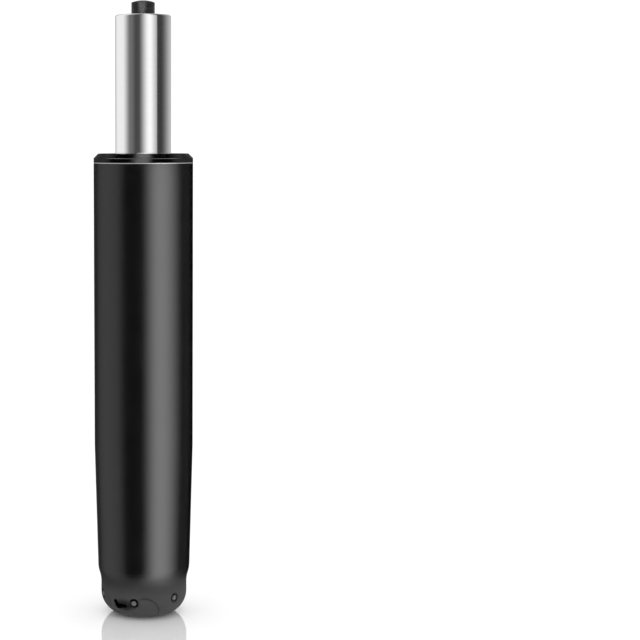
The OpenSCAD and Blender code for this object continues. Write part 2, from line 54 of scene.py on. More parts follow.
column_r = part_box("outer_tube")[1].x / MM
column_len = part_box("outer_tube")[1].z / MM
column_wall = 2.0
rim_rise = 0.17
rim_top = column_len + rim_rise
rim_h = 0.5
rim_lead = 0.2
rim_step = 0.06
step_round = 0.03
rim_round = 0.08
bore_round = 0.1
taper_top = 87.0
taper_foot = 26.0
taper_angle = math.radians(1.438)
band_r = 21.85
band_top = 15.8
shoulder_r = 11.6
shoulder_z = 11.2
foot_bore_r = 11.0
foot_flat = 0.4
foot_round = 0.35
foot_round_mid = 0.1
tube_segments = 480
foot_row = 0.24
wall_row = 12.0
weld = 0.001

stake_count = 6
stake_turn = -14.0
stake_z = 9.7
stake_stagger = 0.8
stake_d = 5.4
stake_depth = 1.3
stake_stud_d = 3.7
stake_stud_drop = 0.2
pocket_flat = 0.8
stud_flat = 0.6
drain_depth = 4.0
drain_sides = 48
drain_strokes = (
    (-41.0, 9.1, 2.4), (-39.6, 8.0, 2.5), (-38.6, 6.8, 2.9), (-34.4, 7.05, 2.7), (-30.5, 7.25, 2.4),
    (-27.1, 7.3, 2.0))
line_at_z = 4.4
line_d = 15.0
line_w = 0.6
line_depth = 0.2
line_fade = 3.0


def arc(mid_r, mid_z, radius, first, last, steps):
    """Points on an arc of the section, in millimetres, from one angle to the other in degrees."""
    points = []
    for step in range(steps + 1):
        angle = math.radians(first + (last - first) * step / steps)
        points.append((mid_r + radius * math.cos(angle), mid_z + radius * math.sin(angle)))
    return points


def rounded(corners, steps=5):
    """A closed section from (r, z, edge radius) corners, each corner drawn as a small arc."""
    points = []
    for index, (r, z, edge) in enumerate(corners):
        corner = Vector((r, z))
        if not edge:
            points.append((r, z))
            continue
        before = (Vector(corners[index - 1][:2]) - corner).normalized()
        after = (Vector(corners[(index + 1) % len(corners)][:2]) - corner).normalized()
        half = before.angle(after) / 2
        reach = edge / math.tan(half)
        mid = corner + (before + after).normalized() * edge / math.sin(half)
        start = corner + before * reach - mid
        sweep = start.angle_signed(corner + after * reach - mid)
        points.append(tuple(corner + before * (reach + edge)))
        for step in range(steps + 1):
            turned = Matrix.Rotation(-sweep * step / steps, 2) @ start
            points.append(tuple(mid + turned))
        points.append(tuple(corner + after * (reach + edge)))
    return points


def spaced(points, most):
    """The same open outline with no two neighbours further apart than most millimetres."""
    result = [points[0]]
    for start, end in zip(points, points[1:]):
        pieces = max(1, math.ceil(math.dist(start, end) / most))
        for piece in range(1, pieces + 1):
            share = piece / pieces
            r = start[0] + (end[0] - start[0]) * share
            z = start[1] + (end[1] - start[1]) * share
            result.append((r, z))
    return result


def column_wall_line(inset, steps):
    """The tube wall's outline from the shoulder up to the cone's top, set in from the outside."""
    cone_r = column_r - (taper_top - taper_foot) * math.tan(taper_angle)
    neck_turn = 2 * math.atan((cone_r - band_r) / (taper_foot - band_top))
    neck_r = (taper_foot - band_top) / (2 * math.sin(neck_turn))
    turn = math.degrees(neck_turn)
    low_mid = (band_r + neck_r, band_top)
    high_mid = (cone_r - neck_r, taper_foot)
    foot_turn = -math.degrees(math.asin(shoulder_z / shoulder_r))
    if inset:
        foot_turn = -math.degrees(math.acos((foot_bore_r - band_r + shoulder_r) / (shoulder_r - inset)))
    low = arc(band_r - shoulder_r, shoulder_z, shoulder_r - inset, foot_turn, 0, 2 * steps)
    neck_low = arc(low_mid[0], low_mid[1], neck_r + inset, 180, 180 - turn, steps)
    neck_high = arc(high_mid[0], high_mid[1], neck_r - inset, -turn, 0, steps)
    return low, neck_low + neck_high[1:] + [(column_r - inset, taper_top)]


def wall_radius(z):
    """The outside radius, in millimetres, of the rolled foot at a height."""
    return band_r - shoulder_r + math.sqrt(shoulder_r ** 2 - min(0.0, z - shoulder_z) ** 2)


def on_wall(turn, z):
    """A point on the rolled foot, in metres, at a turn in degrees from the front and a height."""
    angle = math.radians(turn - 90)
    return Vector((wall_radius(z) * math.cos(angle), wall_radius(z) * math.sin(angle), z)) * MM


def add(tree, kind, links=None, **settings):
    """Adds a node with its settings; links gives its inputs a value or another node's output."""
    node = tree.nodes.new(kind)
    for name, value in settings.items():
        setattr(node, name, value)
    for name, value in (links or {}).items():
        if isinstance(value, bpy.types.NodeSocket):
            tree.links.new(value, node.inputs[name])
        else:
            node.inputs[name].default_value = value
    return node


def node_tree(name, inputs):
    """An empty Geometry Nodes tree with a geometry input and output and the named sizes."""
    tree = bpy.data.node_groups.new(name, "GeometryNodeTree")
    tree.interface.new_socket("Geometry", in_out="INPUT", socket_type="NodeSocketGeometry")
    tree.interface.new_socket("Geometry", in_out="OUTPUT", socket_type="NodeSocketGeometry")
    for label, kind in inputs.items():
        tree.interface.new_socket(label, in_out="INPUT", socket_type=kind)
    return tree, tree.nodes.new("NodeGroupInput").outputs


def lathe_tree():
    """Sweeps a section, given as a row of points in the XZ plane, once round the Z axis."""
    tree, given = node_tree("turned on the axis", {
        "Segments": "NodeSocketInt", "Weld": "NodeSocketFloat", "Material": "NodeSocketMaterial"})
    count = add(tree, "GeometryNodeAttributeDomainSize", {"Geometry": given["Geometry"]})
    rows = count.outputs["Point Count"]
    columns = add(tree, "ShaderNodeMath", {0: given["Segments"], 1: 1.0}, operation="ADD")
    grid = add(tree, "GeometryNodeMeshGrid", {"Vertices X": columns.outputs[0], "Vertices Y": rows})
    index = tree.nodes.new("GeometryNodeInputIndex").outputs[0]
    position = tree.nodes.new("GeometryNodeInputPosition").outputs[0]
    step = add(tree, "ShaderNodeMath", {0: index, 1: rows}, operation="DIVIDE")
    column = add(tree, "ShaderNodeMath", {0: step.outputs[0]}, operation="FLOOR")
    row = add(tree, "ShaderNodeMath", {0: index, 1: rows}, operation="FLOORED_MODULO")
    share = add(tree, "ShaderNodeMath", {0: column.outputs[0], 1: given["Segments"]}, operation="DIVIDE")
    angle = add(tree, "ShaderNodeMath", {0: share.outputs[0], 1: math.tau}, operation="MULTIPLY")
    sample = add(tree, "GeometryNodeSampleIndex", {
        "Geometry": given["Geometry"], "Value": position, "Index": row.outputs[0]}, data_type="FLOAT_VECTOR")
    swung = add(tree, "ShaderNodeVectorRotate", {
        "Vector": sample.outputs[0], "Angle": angle.outputs[0]}, rotation_type="Z_AXIS")
    moved = add(tree, "GeometryNodeSetPosition", {
        "Geometry": grid.outputs["Mesh"], "Position": swung.outputs[0]})
    closed = add(tree, "GeometryNodeMergeByDistance", {
        "Geometry": moved.outputs[0], "Distance": given["Weld"]})
    smooth = add(tree, "GeometryNodeSetShadeSmooth", {"Geometry": closed.outputs[0], "Shade Smooth": True})
    real = add(tree, "GeometryNodeRealizeInstances", {"Geometry": smooth.outputs[0]})
    dressed = add(tree, "GeometryNodeSetMaterial", {
        "Geometry": real.outputs[0], "Material": given["Material"]})
    add(tree, "NodeGroupOutput", {"Geometry": dressed.outputs[0]})
    return tree


def stake_tree():
    """Presses a ring of round pockets, each with a stud left in it, and one faint round witness
    line into the outside of a turned wall, and keeps where they lie for the paint."""
    tree, given = node_tree("ring of stakes", {
        "Count": "NodeSocketInt", "First turn": "NodeSocketFloat", "Height": "NodeSocketFloat",
        "Stagger": "NodeSocketFloat", "Pocket radius": "NodeSocketFloat", "Depth": "NodeSocketFloat",
        "Stud radius": "NodeSocketFloat", "Stud height": "NodeSocketFloat", "Line at": "NodeSocketVector",
        "Line radius": "NodeSocketFloat", "Line width": "NodeSocketFloat", "Line depth": "NodeSocketFloat"})
    position = tree.nodes.new("GeometryNodeInputPosition").outputs[0]
    normal = tree.nodes.new("GeometryNodeInputNormal").outputs[0]
    axes = add(tree, "ShaderNodeSeparateXYZ", {0: position}).outputs
    spoke = add(tree, "ShaderNodeCombineXYZ", {"X": axes["X"], "Y": axes["Y"]}).outputs[0]
    reach = add(tree, "ShaderNodeVectorMath", {0: spoke}, operation="LENGTH").outputs["Value"]
    leaning = add(tree, "ShaderNodeVectorMath", {
        0: normal, 1: spoke}, operation="DOT_PRODUCT").outputs["Value"]
    outside = add(tree, "ShaderNodeMath", {0: leaning, 1: 0.0}, operation="GREATER_THAN").outputs[0]
    turn = add(tree, "ShaderNodeMath", {0: axes["Y"], 1: axes["X"]}, operation="ARCTAN2").outputs[0]
    past = add(tree, "ShaderNodeMath", {0: turn, 1: given["First turn"]}, operation="SUBTRACT").outputs[0]
    pitch = add(tree, "ShaderNodeMath", {0: math.tau, 1: given["Count"]}, operation="DIVIDE").outputs[0]
    steps = add(tree, "ShaderNodeMath", {0: past, 1: pitch}, operation="DIVIDE").outputs[0]
    whole = add(tree, "ShaderNodeMath", {0: steps}, operation="ROUND").outputs[0]
    back = add(tree, "ShaderNodeMath", {0: whole, 1: pitch}, operation="MULTIPLY").outputs[0]
    beyond = add(tree, "ShaderNodeMath", {0: past, 1: back}, operation="SUBTRACT").outputs[0]
    along = add(tree, "ShaderNodeMath", {0: reach, 1: beyond}, operation="MULTIPLY").outputs[0]
    odd = add(tree, "ShaderNodeMath", {0: whole, 1: 2.0}, operation="FLOORED_MODULO").outputs[0]
    side = add(tree, "ShaderNodeMath", {0: odd, 1: 2.0, 2: -1.0}, operation="MULTIPLY_ADD").outputs[0]
    mid_z = add(tree, "ShaderNodeMath", {
        0: side, 1: given["Stagger"], 2: given["Height"]}, operation="MULTIPLY_ADD").outputs[0]
    above = add(tree, "ShaderNodeMath", {0: axes["Z"], 1: mid_z}, operation="SUBTRACT").outputs[0]
    flat = add(tree, "ShaderNodeCombineXYZ", {"X": along, "Y": above}).outputs[0]
    away = add(tree, "ShaderNodeVectorMath", {0: flat}, operation="LENGTH").outputs["Value"]
    wall_foot = add(tree, "ShaderNodeMath", {0: given["Pocket radius"], 1: pocket_flat}, operation="MULTIPLY")
    stud_top = add(tree, "ShaderNodeMath", {0: given["Stud radius"], 1: stud_flat}, operation="MULTIPLY")
    from_line = add(tree, "ShaderNodeVectorMath", {
        0: position, 1: given["Line at"]}, operation="DISTANCE").outputs["Value"]
    off_line = add(tree, "ShaderNodeMath", {0: from_line, 1: given["Line radius"]}, operation="SUBTRACT")
    beside = add(tree, "ShaderNodeMath", {0: off_line.outputs[0]}, operation="ABSOLUTE").outputs[0]
    shown = add(tree, "ShaderNodeMapRange", {
        "Value": axes["X"], "From Min": -line_fade * MM, "From Max": 0.0, "To Max": outside},
        interpolation_type="SMOOTHSTEP").outputs[0]
    wall = given["Geometry"]
    offset = 0.0
    for label, distance, edge, middle, most, height in (
            ("pocket", away, given["Pocket radius"], wall_foot.outputs[0], outside, given["Depth"]),
            ("stud", away, given["Stud radius"], stud_top.outputs[0], outside, given["Stud height"]),
            ("line", beside, given["Line width"], 0.0, shown, given["Line depth"])):
        share = add(tree, "ShaderNodeMapRange", {
            "Value": distance, "From Min": edge, "From Max": middle, "To Max": most},
            interpolation_type="SMOOTHSTEP").outputs[0]
        wall = add(tree, "GeometryNodeStoreNamedAttribute", {
            "Geometry": wall, "Name": label, "Value": share}, data_type="FLOAT", domain="POINT").outputs[0]
        offset = add(tree, "ShaderNodeMath", {
            0: share, 1: height, 2: offset}, operation="MULTIPLY_ADD").outputs[0]
    shift = add(tree, "ShaderNodeVectorMath", {0: normal, "Scale": offset}, operation="SCALE")
    pressed = add(tree, "GeometryNodeSetPosition", {"Geometry": wall, "Offset": shift.outputs["Vector"]})
    add(tree, "NodeGroupOutput", {"Geometry": pressed.outputs[0]})
    return tree


def drill_tree():
    """Drills one round hole along a given direction, with a finish of its own inside."""
    tree, given = node_tree("drilled hole", {
        "At": "NodeSocketVector", "Turn": "NodeSocketVector", "Radius": "NodeSocketFloat",
        "Length": "NodeSocketFloat", "Material": "NodeSocketMaterial"})
    drill = add(tree, "GeometryNodeMeshCylinder", {
        "Vertices": drain_sides, "Radius": given["Radius"], "Depth": given["Length"]})
    coated = add(tree, "GeometryNodeSetMaterial", {
        "Geometry": drill.outputs["Mesh"], "Material": given["Material"]})
    placed = add(tree, "GeometryNodeTransform", {
        "Geometry": coated.outputs[0], "Translation": given["At"], "Rotation": given["Turn"]})
    bored = add(tree, "GeometryNodeMeshBoolean", {
        "Mesh 1": given["Geometry"], "Mesh 2": placed.outputs[0]}, operation="DIFFERENCE", solver="EXACT")
    add(tree, "NodeGroupOutput", {"Geometry": bored.outputs[0]})
    return tree


def section(name, outline):
    """A new object whose points are the given section's, ready to be turned."""
    mesh = bpy.data.meshes.new(name)
    mesh.from_pydata([(r * MM, 0.0, z * MM) for r, z in outline], [], [])
    piece = bpy.data.objects.new(name, mesh)
    bpy.context.scene.collection.objects.link(piece)
    return piece


def shape(piece, tree, **sizes):
    """Puts a tree on a piece and sets its named sizes; an underscore stands for a space."""
    modifier = piece.modifiers.new(tree.name, "NODES")
    modifier.node_group = tree
    for item in tree.interface.items_tree:
        key = item.name.replace(" ", "_").lower()
        if item.in_out == "INPUT" and key in sizes:
            modifier[item.identifier] = sizes[key]


def settle(piece):
    """Turns what the trees made into the piece's own plain mesh."""
    graph = bpy.context.evaluated_depsgraph_get()
    graph.update()
    mesh = bpy.data.meshes.new_from_object(piece.evaluated_get(graph), depsgraph=graph)
    piece.modifiers.clear()
    piece.data = mesh
    mesh.name = piece.name


def linear(code):
    """A linear colour from an sRGB hex code."""
    values = [int(code[start:start + 2], 16) / 255 for start in (1, 3, 5)]
    return tuple(v / 12.92 if v <= 0.04045 else ((v + 0.055) / 1.055) ** 2.4 for v in values) + (1.0,)


def material(name):
    """An empty node material with its shader, output and the piece's own coordinates."""
    made = bpy.data.materials.new(name)
    made.use_nodes = True
    tree = made.node_tree
    tree.nodes.clear()
    shader = tree.nodes.new("ShaderNodeBsdfPrincipled")
    add(tree, "ShaderNodeOutputMaterial", {"Surface": shader.outputs[0]})
    place = tree.nodes.new("ShaderNodeTexCoord").outputs["Object"]
    return made, tree, shader, place


# Stove enamel: deep black, smooth but faintly rippled, so lamps show as soft upright bands.
# Low on the foot it lies dry and dull. The stud tops are painted light grey as a painted highlight,
# the pockets and the witness line are painted darker as painted shade, and a dark patch round and
# under the drain hole is painted shade. Where shade is painted, the enamel turns metallic black
# and so loses its shine.
paint, tree, shader, place = material("black stove enamel")
peel_mm = 1.4
peel_relief_mm = 0.02
mottle_mm = 9.0
shade_patch_mm = 1.6
gloss_least = 0.16
gloss_most = 0.26
dull_roughness = 0.87
shade_metal_share = 0.45
dull_from_z = 27.0
dull_to_z = 14.0
dry_from_z = 21.0
dry_to_z = 11.5
shade_turn = -28.0
shade_z = 7.4
shade_half = Vector((6.0, 7.5, 4.3))
peel = add(tree, "ShaderNodeTexNoise", {"Vector": place, "Scale": 1 / (peel_mm * MM), "Detail": 2.0})
mottle = add(tree, "ShaderNodeTexNoise", {"Vector": place, "Scale": 1 / (mottle_mm * MM), "Detail": 3.0})
height = add(tree, "ShaderNodeSeparateXYZ", {0: place}).outputs["Z"]
dull = add(tree, "ShaderNodeMapRange", {
    "Value": height, "From Min": dull_from_z * MM, "From Max": dull_to_z * MM},
    interpolation_type="SMOOTHSTEP").outputs[0]
dry = add(tree, "ShaderNodeMapRange", {
    "Value": height, "From Min": dry_from_z * MM, "From Max": dry_to_z * MM},
    interpolation_type="SMOOTHSTEP").outputs[0]
# Painted shade round and under the drain hole: an oval patch on the wall, darkest at its middle.
from_shade = add(tree, "ShaderNodeMapping", {
    "Vector": place, "Location": on_wall(shade_turn, shade_z),
    "Rotation": (0.0, 0.0, math.radians(shade_turn - 90)), "Scale": shade_half * MM}, vector_type="TEXTURE")
shade_reach = add(tree, "ShaderNodeVectorMath", {0: from_shade.outputs[0]}, operation="LENGTH").outputs["Value"]
drain_shade = add(tree, "ShaderNodeMapRange", {
    "Value": shade_reach, "From Min": 1.0, "From Max": 0.3}, interpolation_type="SMOOTHSTEP").outputs[0]
# Painted shade in the stake pockets, broken into patches by a fine noise.
shade_patches = add(tree, "ShaderNodeTexNoise", {"Vector": place, "Scale": 1 / (shade_patch_mm * MM), "Detail": 1.0})
patchy_shade = add(tree, "ShaderNodeMapRange", {
    "Value": shade_patches.outputs[0], "From Min": 0.4, "From Max": 0.55, "To Min": 0.3, "To Max": 1.0}).outputs[0]
pocket = add(tree, "ShaderNodeAttribute", attribute_name="pocket").outputs["Fac"]
pocket_shade = add(tree, "ShaderNodeMath", {0: pocket, 1: patchy_shade}, operation="MULTIPLY").outputs[0]
stud_mark = add(tree, "ShaderNodeAttribute", attribute_name="stud").outputs["Fac"]
# Painted shade along the witness line's groove, a touch darker than the enamel.
line_shade = add(tree, "ShaderNodeAttribute", attribute_name="line").outputs["Fac"]
# Painted highlight: the stud tops are painted light grey.
stud_highlight = add(tree, "ShaderNodeMapRange", {
    "Value": stud_mark, "From Min": 0.5, "From Max": 0.95}, interpolation_type="SMOOTHSTEP").outputs[0]
gloss = add(tree, "ShaderNodeMapRange", {
    "Value": mottle.outputs[0], "To Min": gloss_least, "To Max": gloss_most})
roughness = add(tree, "ShaderNodeMapRange", {
    "Value": dull, "To Min": gloss.outputs[0], "To Max": dull_roughness}).outputs[0]
tint = add(tree, "ShaderNodeMix", {
    "Factor": mottle.outputs[0], "A": linear("#080808"), "B": linear("#0e0e0f")}, data_type="RGBA")
# Lighter grey low on the foot; painted shade round the drain hole, in the witness line and in the pockets; a
# painted highlight on the stud tops.
for share, colour in (
        (dry, "#393939"), (drain_shade, "#0c0c0c"), (line_shade, "#0a0a0a"), (pocket_shade, "#020202"),
        (stud_highlight, "#646464")):
    tint = add(tree, "ShaderNodeMix", {
        "Factor": share, "A": tint.outputs["Result"], "B": linear(colour)}, data_type="RGBA")
ripple = add(tree, "ShaderNodeBump", {
    "Height": peel.outputs[0], "Strength": 0.06, "Distance": peel_relief_mm * MM})
# Painted shade also takes away the shine by turning the enamel metallic black, except on the stud highlights.
drain_shade_metal = add(tree, "ShaderNodeMath", {0: drain_shade, 1: shade_metal_share}, operation="MULTIPLY").outputs[0]
shaded_marks = add(tree, "ShaderNodeMath", {0: pocket_shade, 1: drain_shade_metal}, operation="MAXIMUM").outputs[0]
shade_metallic = add(tree, "ShaderNodeMath", {0: shaded_marks, 1: stud_highlight}, operation="SUBTRACT", use_clamp=True)
tree.links.new(tint.outputs["Result"], shader.inputs["Base Color"])
tree.links.new(shade_metallic.outputs[0], shader.inputs["Metallic"])
tree.links.new(roughness, shader.inputs["Roughness"])
tree.links.new(ripple.outputs[0], shader.inputs["Normal"])


def finish(name, dark, light, smooth, rough, grain_mm, relief, metallic=0.0, stretch=(1.0, 1.0, 1.0)):
    """A material whose tint, roughness and fine relief follow a grain of a real size; stretch draws the
    grain out into lines that run round the axis."""
    grain_relief_mm = 0.01
    made, tree, shader, place = material(name)
    drawn = add(tree, "ShaderNodeMapping", {"Vector": place, "Scale": stretch})
    grain = add(tree, "ShaderNodeTexNoise", {
        "Vector": drawn.outputs[0], "Scale": 1 / (grain_mm * MM), "Detail": 3.0}).outputs[0]
    tint = add(tree, "ShaderNodeMix", {
        "Factor": grain, "A": linear(dark), "B": linear(light)}, data_type="RGBA")
    wear = add(tree, "ShaderNodeMapRange", {"Value": grain, "To Min": smooth, "To Max": rough})
    bump = add(tree, "ShaderNodeBump", {
        "Height": grain, "Strength": relief, "Distance": grain_relief_mm * MM})
    shader.inputs["Metallic"].default_value = metallic
    tree.links.new(tint.outputs["Result"], shader.inputs["Base Color"])
    tree.links.new(wear.outputs[0], shader.inputs["Roughness"])
    tree.links.new(bump.outputs[0], shader.inputs["Normal"])
    return made


# Turned and ground work has its grain drawn out round the axis, 25 times as long as it is wide.
turned = (0.04, 0.04, 1.0)
# Faced steel rim: a turned edge with fine circular tool marks, half metallic, painted pale grey as a painted
# highlight for the light line the rim catches under the collar.
rim_highlight = finish("phosphated faced steel", "#a1a1a1", "#b7b7b7", 0.35, 0.5, 0.12, 0.05, 0.3, turned)
# Painted shade inside the drain hole: a matt near-black coat on the hole's walls, as dark as the shade there.
hole_shade = finish("pooled enamel", "#020202", "#060606", 0.5, 0.7, 0.6, 0.05)
# It has no specular at all, so the hole's walls stay black as painted shade.
hole_shade.node_tree.nodes["Principled BSDF"].inputs["Specular IOR Level"].default_value = 0.0

foot_line, wall_line = column_wall_line(0.0, 12)
foot_inside, wall_inside = column_wall_line(column_wall, 5)
foot_start = (foot_line[0][0] - foot_flat, 0.0)
outer_line = spaced([foot_start] + foot_line + [(band_r, stake_z + stake_d)], foot_row)
outer_line += spaced(wall_line + [(column_r, rim_top - rim_h - rim_lead)], wall_row)
rim_line = rounded([
    (column_r, rim_top - rim_h, step_round),
    (column_r - rim_step, rim_top - rim_h + rim_step, step_round),
    (column_r - rim_step, rim_top, rim_round), (column_r - column_wall, rim_top, bore_round)])[1:]
foot_edge = [
    (foot_bore_r, foot_round), (foot_bore_r + foot_round_mid, foot_round_mid),
    (foot_bore_r + foot_round, 0.0)]
tube_line = outer_line + rim_line + wall_inside[::-1] + foot_inside[::-1] + foot_edge + outer_line[:1]

lathe = lathe_tree()
outer_tube = section("outer_tube_enamelled", tube_line)
shape(outer_tube, lathe, segments=tube_segments, weld=weld * MM, material=paint)
shape(
    outer_tube, stake_tree(), count=stake_count, first_turn=math.radians(stake_turn - 90),
    height=stake_z * MM, stagger=stake_stagger * MM, pocket_radius=stake_d / 2 * MM,
    depth=-stake_depth * MM, stud_radius=stake_stud_d / 2 * MM,
    stud_height=(stake_depth - stake_stud_drop) * MM, line_at=on_wall(0.0, line_at_z),
    line_radius=line_d / 2 * MM, line_width=line_w * MM, line_depth=-line_depth * MM)
drill = drill_tree()
for drain_turn, drain_z, drain_d in drain_strokes:
    shape(
        outer_tube, drill, at=on_wall(drain_turn, drain_z),
        turn=Vector((0.0, math.pi / 2, math.radians(drain_turn - 90))), radius=drain_d / 2 * MM,
        length=2 * drain_depth * MM, material=hole_shade)
settle(outer_tube)
# The rim's faces take the pale grey painted highlight.
outer_tube.data.materials.append(rim_highlight)
for face in outer_tube.data.polygons:
    if face.center.z > (rim_top - rim_h) * MM:
        face.material_index = len(outer_tube.data.materials) - 1
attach(outer_tube, "column")
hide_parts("outer_tube")


# Base plate
# A thick steel disc, turned and zinc plated, that nests in the rolled foot and is locked by the
# stakes. Its rim is painted near black and not metallic, as painted shade where the hole and the stakes show
# it.
def dress(coat, *names):
    """Gives CAD nodes a finish of this scene."""
    for name in names:
        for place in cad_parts[name].material_slots:
            place.material = coat


# Zinc plate: pale cool grey, half bright, a little cloudy.
zinc = finish("zinc plated steel", "#9da2a6", "#c3c7ca", 0.24, 0.4, 1.5, 0.05, 1.0)
shaded_plate_zinc = finish(
    "zinc plated steel with enamel on its rim", "#9da2a6", "#c3c7ca", 0.24, 0.4, 1.5, 0.05)
# Beyond 17 mm from the axis the plate turns near black and not metallic: painted shade on its rim.
shade_from_r = 17.0
shade_to_r = 18.2
tree = shaded_plate_zinc.node_tree
shader = next(node for node in tree.nodes if node.type == "BSDF_PRINCIPLED")
place = add(tree, "ShaderNodeTexCoord").outputs["Object"]
level = add(tree, "ShaderNodeMapping", {"Vector": place, "Scale": (1.0, 1.0, 0.0)}).outputs[0]
from_axis = add(tree, "ShaderNodeVectorMath", {0: level}, operation="LENGTH").outputs["Value"]
unshaded = add(tree, "ShaderNodeMapRange", {
    "Value": from_axis, "From Min": shade_to_r * MM, "From Max": shade_from_r * MM}).outputs[0]
tint = add(tree, "ShaderNodeMix", {
    "Factor": unshaded, "A": linear("#030303"),
    "B": shader.inputs["Base Color"].links[0].from_socket}, data_type="RGBA")
tree.links.new(tint.outputs["Result"], shader.inputs["Base Color"])
tree.links.new(unshaded, shader.inputs["Metallic"])
dress(shaded_plate_zinc, "base_plate")

# Thrust bearing
# Two hardened and ground races with twelve balls between them in a pressed brass cage.
# The lower race lies on the base plate and the upper one under the rod's shoulder.
balls_low, balls_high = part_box("bearing_balls")
ball_count = 12
ball_sides = 32
ball_rows = 16
ball_r = (balls_high.z - balls_low.z) / 2
ball_ring_r = balls_high.x - ball_r


def ball_tree():
    """Sets a ring of equal balls round the Z axis at a height."""
    tree, given = node_tree("ring of balls", {
        "Count": "NodeSocketInt", "Ring radius": "NodeSocketFloat", "Ball radius": "NodeSocketFloat",
        "Height": "NodeSocketFloat", "Material": "NodeSocketMaterial"})
    ball = add(tree, "GeometryNodeMeshUVSphere", {
        "Segments": ball_sides, "Rings": ball_rows, "Radius": given["Ball radius"]})
    ring = add(tree, "GeometryNodeMeshCircle", {"Vertices": given["Count"], "Radius": given["Ring radius"]})
    copies = add(tree, "GeometryNodeInstanceOnPoints", {
        "Points": ring.outputs["Mesh"], "Instance": ball.outputs["Mesh"]})
    lift = add(tree, "ShaderNodeCombineXYZ", {"Z": given["Height"]})
    placed = add(tree, "GeometryNodeTransform", {
        "Geometry": copies.outputs[0], "Translation": lift.outputs[0]})
    real = add(tree, "GeometryNodeRealizeInstances", {"Geometry": placed.outputs[0]})
    smooth = add(tree, "GeometryNodeSetShadeSmooth", {"Geometry": real.outputs[0], "Shade Smooth": True})
    dressed = add(tree, "GeometryNodeSetMaterial", {
        "Geometry": smooth.outputs[0], "Material": given["Material"]})
    add(tree, "NodeGroupOutput", {"Geometry": dressed.outputs[0]})
    return tree


# Bearing steel: bright grey, close to a mirror, with fine lines round the races.
bearing_steel = finish("ground bearing steel", "#c4c6c9", "#d8dadc", 0.06, 0.16, 0.2, 0.03, 1.0, turned)
dress(bearing_steel, "bearing_lower_race", "bearing_upper_race")
balls = section("bearing_balls_ground", [])
shape(
    balls, ball_tree(), count=ball_count, ring_radius=ball_ring_r, ball_radius=ball_r,
    height=balls_low.z + ball_r, material=bearing_steel)
settle(balls)
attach(balls, "bearing_cage")
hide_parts("bearing_balls")
# Brass: warm yellow, dulled a little by grease.
brass = finish("pressed brass", "#9a7431", "#bd9447", 0.22, 0.38, 0.8, 0.05, 1.0)
dress(brass, "ball_cage")

# Piston rod, clips and bumper
# A ground steel rod, fixed to the base plate by a washer and a spring clip in the foot's opening.
# A rubber ring on its shoulder stops the tube, and the piston is held on its top by a circlip.

# Ground steel: cool grey with very fine lines round the rod, a tenth as many as the real ones.
ground_steel = finish("centreless ground steel", "#b9bcc0", "#cfd2d5", 0.12, 0.22, 0.2, 0.03, 1.0, turned)
dress(ground_steel, "piston_rod", "gas_cylinder", "valve_pin")
dress(zinc, "clip_washer", "bumper_washer", "piston_washers", "seal_washer", "valve_retainer")
# Spring steel: hardened and oil blackened, dark with a weak shine.
spring_steel = finish("oil blackened spring steel", "#2b2d31", "#484b50", 0.3, 0.45, 0.7, 0.05, 1.0)
dress(spring_steel, "retaining_clip", "piston_circlip")
# Nitrile rubber: black, matt and faintly dusty.
rubber = finish("nitrile rubber", "#111111", "#1f1f1f", 0.55, 0.75, 0.5, 0.1)
dress(rubber, "rubber_bumper", "rod_seal", "piston_o_ring", "valve_body_o_ring", "cylinder_o_ring",
      "valve_pin_o_rings")

# Piston, rod guide and valve
# The piston, the rod guide and the spacer are moulded in natural acetal, which runs dry on steel.
# The valve body is an aluminium casting that fills the top of the tube.

# Natural acetal: creamy white with a soft satin skin.
natural_acetal = finish("natural acetal", "#cdc7b1", "#e2decd", 0.3, 0.45, 1.2, 0.04)
dress(natural_acetal, "piston", "rod_guide", "valve_spacer")
# Cast aluminium: light grey with the grain of the mould.
cast_aluminium = finish("cast aluminium", "#9b9fa2", "#bfc2c5", 0.4, 0.6, 0.7, 0.2, 1.0)
dress(cast_aluminium, "valve_body")

# Guide sleeve
# A long bush moulded in black acetal and pressed into the tube. Eight ribs keep it stiff,
# and its turned collar covers the tube's rim round the chromed tube.
collar_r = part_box("guide_sleeve")[1].x / MM
collar_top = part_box("guide_sleeve")[1].z / MM
sleeve_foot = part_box("guide_sleeve")[0].z / MM
collar_chamfer = 2.3
sleeve_r = 22.95
sleeve_bore_r = 14.05
sleeve_mouth = 0.3
sleeve_skin = 2.2
sleeve_head = 8.0
rib_count = 8
rib_w = 2.5
pocket_steps = 15
pocket_overrun = 1.0
sleeve_segments = 240
sharp_turn = 40.0

# Black acetal: dense satin black with faint turning marks round the collar.
acetal = finish("black acetal", "#030303", "#060606", 0.1, 0.18, 0.25, 0.06, 0.0, turned)


def pocket_tree():
    """Cuts one pocket shape out of a piece again and again round the Z axis."""
    tree, given = node_tree("ring of pockets", {"Count": "NodeSocketInt", "Pocket": "NodeSocketObject"})
    pocket = add(tree, "GeometryNodeObjectInfo", {"Object": given["Pocket"], "As Instance": True})
    copies = add(tree, "GeometryNodeDuplicateElements", {
        "Geometry": pocket.outputs["Geometry"], "Amount": given["Count"]}, domain="INSTANCE")
    pitch = add(tree, "ShaderNodeMath", {0: math.tau, 1: given["Count"]}, operation="DIVIDE")
    angle = add(tree, "ShaderNodeMath", {
        0: copies.outputs["Duplicate Index"], 1: pitch.outputs[0]}, operation="MULTIPLY")
    turn = add(tree, "ShaderNodeCombineXYZ", {"Z": angle.outputs[0]})
    ring = add(tree, "GeometryNodeRotateInstances", {
        "Instances": copies.outputs["Geometry"], "Rotation": turn.outputs[0], "Local Space": False})
    real = add(tree, "GeometryNodeRealizeInstances", {"Geometry": ring.outputs[0]})
    cut = add(tree, "GeometryNodeMeshBoolean", {
        "Mesh 1": given["Geometry"], "Mesh 2": real.outputs[0]}, operation="DIFFERENCE", solver="EXACT")
    add(tree, "NodeGroupOutput", {"Geometry": cut.outputs[0]})
    return tree


